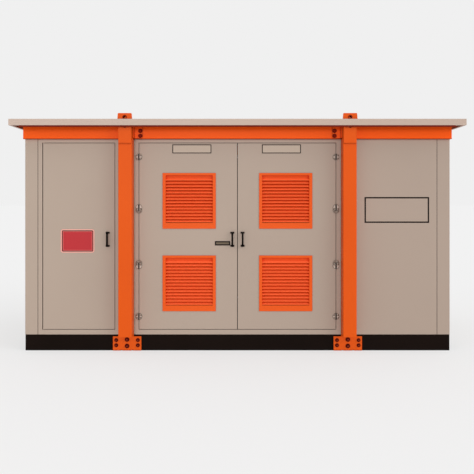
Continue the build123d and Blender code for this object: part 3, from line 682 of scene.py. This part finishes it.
def drip_shade_strips():
    """The strips round the top frame, broken where the columns stand."""
    beam_low, beam_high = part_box("front_top_beams")
    end_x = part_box("end_top_beams")[1].x
    inner, outer = column_x - column_half_width, column_x + column_half_width
    runs = ((-beam_high.x, -outer), (-inner, inner), (outer, beam_high.x))
    strips = [drip_shade_strip("drip_shade_strip", low, high, beam_low.y, turn) for turn in (0.0, math.pi)
              for low, high in runs]
    end_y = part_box("end_top_beams")[1].y
    strips += [drip_shade_strip("drip_shade_strip", -end_y, end_y, -end_x, turn) for turn in (math.pi / 2, -math.pi / 2)]
    seal = join(strips)
    seal.name = "drip_shade_strip"
    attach(seal, "cabin")


drip_shade_strips()


def roof_shade_trims():
    """A dark trim that hangs under the lip of the front and rear fascias, as long as the walls, put there as
    painted shade under the lip.
    """
    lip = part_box("roof_long_fascias")[0]
    run_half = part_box("corner_posts")[1].x
    front = lip.y + trim_setback
    strips = []
    for turn in (0.0, math.pi):
        strip = block("roof_shade_trim", (-run_half, front, lip.z - trim_height),
                      (run_half, front + trim_thickness, lip.z), shade_strip_rubber)
        edit(strip, "EDGE", lambda centre, run: runs_along(run, 0) and centre.z < lip.z - trim_height / 2)
        bpy.ops.mesh.bevel(offset=trim_bevel, segments=3)
        close_edit()
        strip.data.transform(Matrix.Rotation(turn, 4, "Z"))
        strips.append(strip)
    trim = join(strips)
    trim.name = "roof_shade_trim"
    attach(trim, "cabin")


def post_joints():
    """Sealant in the upright joints beside the corner posts, on the front, the rear and the ends."""
    low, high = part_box("corner_posts")
    beads = []
    for turn, half_run, half_face in ((0.0, high.x, high.y), (math.pi, high.x, high.y),
                                      (math.pi / 2, high.y, high.x), (-math.pi / 2, high.y, high.x)):
        for side in (-1, 1):
            seam = half_run - corner_post_width
            x_ends = sorted((side * seam, side * (seam + joint_width)))
            bead = block("post_joint", (x_ends[0], -half_face + joint_sink, low.z),
                         (x_ends[1], -half_face + joint_sink + joint_depth, high.z), joint_black)
            edit(bead, "EDGE", lambda centre, run: runs_along(run, 2) and
                 centre.y < -half_face + joint_sink + joint_depth / 2)
            bpy.ops.mesh.bevel(offset=joint_bevel, segments=2)
            close_edit()
            bead.data.transform(Matrix.Rotation(turn, 4, "Z"))
            beads.append(bead)
    joints = join(beads)
    joints.name = "post_joints"
    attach(joints, "cabin")


def plate_welds():
    """A fillet weld under each lifting plate, across the column's outer face."""
    column_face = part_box("lifting_columns")[0].y
    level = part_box("lifting_plates")[0].z
    beads = []
    for turn in (0.0, math.pi):
        for x in (-column_x, column_x):
            bead = block("plate_weld", (x - lift_plate_half, column_face - weld_leg, level - weld_leg),
                         (x + lift_plate_half, column_face, level), column_orange)
            edit(bead, "EDGE", lambda centre, run: runs_along(run, 0) and centre.z < level - weld_leg / 2
                 and centre.y < column_face - weld_leg / 2)
            bpy.ops.mesh.bevel(offset=weld_bevel, segments=4)
            close_edit()
            bead.data.transform(Matrix.Rotation(turn, 4, "Z"))
            beads.append(bead)
    welds = join(beads)
    welds.name = "plate_welds"
    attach(welds, "cabin")


roof_shade_trims()
post_joints()
plate_welds()


def blank_plate(name, sizes, corner, borders, field, body):
    """A bare plate: films of colour on a rounded sheet, each inside the border of the one below.

    The borders are widths with their finishes, from the outside in."""
    x, z, width, height = sizes
    half_width, half_height = width / 2, height / 2
    back, front = front_y, front_y - plate_thickness
    films = []
    for border, material in borders + [(0.0, field)]:
        film = block(name, (x - half_width, front, z - half_height), (x + half_width, back, z + half_height),
                     material)
        edit(film, "EDGE", lambda centre, run: runs_along(run, 1))
        bpy.ops.mesh.bevel(offset=corner, segments=5)
        close_edit()
        films.append(film)
        half_width, half_height = half_width - border, half_height - border
        corner = max(corner - border, film_corner)
        back, front = front, front - film_rise
    plate = join(films)
    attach(plate, body)


blank_plate("red_plate", red_plate, red_plate_corner,
            [(0.012, plate_blush), (0.011, plate_dark_red), (0.007, plate_pink)], plate_red,
            "single_door")
blank_plate("left_name_plate", left_name_plate, plate_corner, [(0.009, plate_black)], plate_stone,
            "double_door_left")
blank_plate("right_name_plate", right_name_plate, plate_corner, [(0.009, plate_black)], plate_stone,
            "double_door_right")
blank_plate("rating_plate", rating_plate, plate_corner, [(0.014, plate_black)], plate_brown,
            "double_door_left")


def painted_outline(name, sizes):
    """An empty rectangle painted on the front wall, as a film with a small rise."""
    x, z, width, height = sizes
    bpy.ops.object.select_all(action="DESELECT")
    bpy.ops.mesh.primitive_plane_add(size=1, location=(x, front_y, z), rotation=(math.pi / 2, 0, 0))
    bpy.context.object.scale = (width, height, 1)
    line = start_piece(name, line_black)
    edit(line, "FACE", lambda centre, normal: True)
    bpy.ops.mesh.inset(thickness=painted_line)
    bpy.ops.mesh.delete(type="FACE")
    bpy.ops.mesh.select_all(action="SELECT")
    bpy.ops.mesh.extrude_region_move(TRANSFORM_OT_translate={"value": (0, -paint_rise, 0)})
    bpy.ops.mesh.select_all(action="SELECT")
    bpy.ops.mesh.normals_make_consistent(inside=False)
    close_edit()
    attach(line, "cabin")


painted_outline("painted_outline", painted_frame)


def seal_strip(name, low, high, along):
    """A rubber strip whose front edges are rounded, along X or Z."""
    strip = block(name, low, high, rubber)
    edit(strip, "EDGE", lambda centre, run: runs_along(run, along) and
         centre.y < low[1] + seal_thickness / 2)
    bpy.ops.mesh.bevel(offset=seal_bevel, segments=3)
    close_edit()
    return strip


def door_seal(name, stops):
    """The seal on the front of a doorway's stops: two sides and the head."""
    low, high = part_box(stops)
    front, back = low.y - seal_thickness, low.y
    start, end, head = low.x + seal_inset, high.x - seal_inset, high.z - seal_inset
    left = seal_strip(name, (start, front, low.z), (start + seal_width, back, head), 2)
    right = seal_strip(name + "_right", (end - seal_width, front, low.z), (end, back, head), 2)
    top = seal_strip(name + "_top", (start + seal_width, front, head - seal_width),
                     (end - seal_width, back, head), 0)
    seal = join([left, right, top])
    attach(seal, "cabin")


def meeting_seal(name, turn, body):
    """The lip of rubber on the meeting edge of the left leaf, or of its twin at the rear."""
    low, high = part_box("double_left_leaf")
    lip = block(name, (high.x, low.y + lip_margin, low.z + lip_margin),
                (high.x + meeting_lip, high.y - lip_margin, high.z - lip_margin), rubber)
    edit(lip, "EDGE", lambda centre, run: runs_along(run, 2) and centre.x > high.x + meeting_lip / 2)
    bpy.ops.mesh.bevel(offset=meeting_lip_bevel, segments=3)
    close_edit()
    lip.data.transform(Matrix.Rotation(turn, 4, "Z"))
    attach(lip, body)


door_seal("single_door_seal", "single_door_stops")
door_seal("double_door_seal", "double_door_stops")
meeting_seal("double_door_meeting_seal", 0.0, "double_door_left")
meeting_seal("rear_meeting_seal", math.pi, "cabin")


def studio_floor():
    """A pale floor that runs out to the horizon."""
    bpy.ops.object.select_all(action="DESELECT")
    bpy.ops.mesh.primitive_plane_add(size=floor_size)
    floor = bpy.context.object
    floor.name = "studio_floor"
    material = new_finish("matt_floor", {
        "Base Color": linear("#949494"), "Roughness": 1.0, "Specular IOR Level": 0.0,
        "Emission Color": linear("#F0F0F0"), "Emission Strength": 0.65})[0]
    floor.data.materials.append(material)


def sun(name, strength, softness, elevation, azimuth):
    """A soft sun from an elevation and an azimuth to the left of the front, in degrees."""
    light = bpy.data.lights.new(name, "SUN")
    light.energy = strength
    light.angle = math.radians(softness)
    lamp = bpy.data.objects.new(name, light)
    lamp.rotation_euler = (math.radians(90 - elevation), 0, -math.radians(azimuth))
    bpy.context.collection.objects.link(lamp)


def studio_light():
    """An even pale surround, a low key from the front, a broad side light and a little from above."""
    world = bpy.data.worlds.new("studio")
    world.use_nodes = True
    back = world.node_tree.nodes["Background"]
    back.inputs["Color"].default_value = linear("#F0F0F0")
    back.inputs["Strength"].default_value = 1.0
    bpy.context.scene.world = world
    sun("key_sun", strength=0.70, softness=18.0, elevation=8.0, azimuth=5.0)
    sun("side_sun", strength=1.7, softness=60.0, elevation=10.0, azimuth=-72.0)
    sun("top_sun", strength=0.20, softness=50.0, elevation=80.0, azimuth=0.0)


def photo_camera():
    """The camera at the photograph's viewing angle."""
    data = bpy.data.cameras.new("photo_camera")
    data.sensor_width = sensor_width
    data.lens = camera_lens
    data.shift_x = (photo_width / 2 - principal_column) / photo_width
    data.shift_y = (horizon_row - photo_width / 2) / photo_width
    data.clip_end = 1000.0
    camera = bpy.data.objects.new("photo_camera", data)
    camera.location = camera_place
    camera.rotation_euler = (math.pi / 2, 0, 0)
    bpy.context.collection.objects.link(camera)
    bpy.context.scene.camera = camera


studio_floor()
studio_light()
photo_camera()
bpy.context.scene.view_settings.view_transform = "Standard"
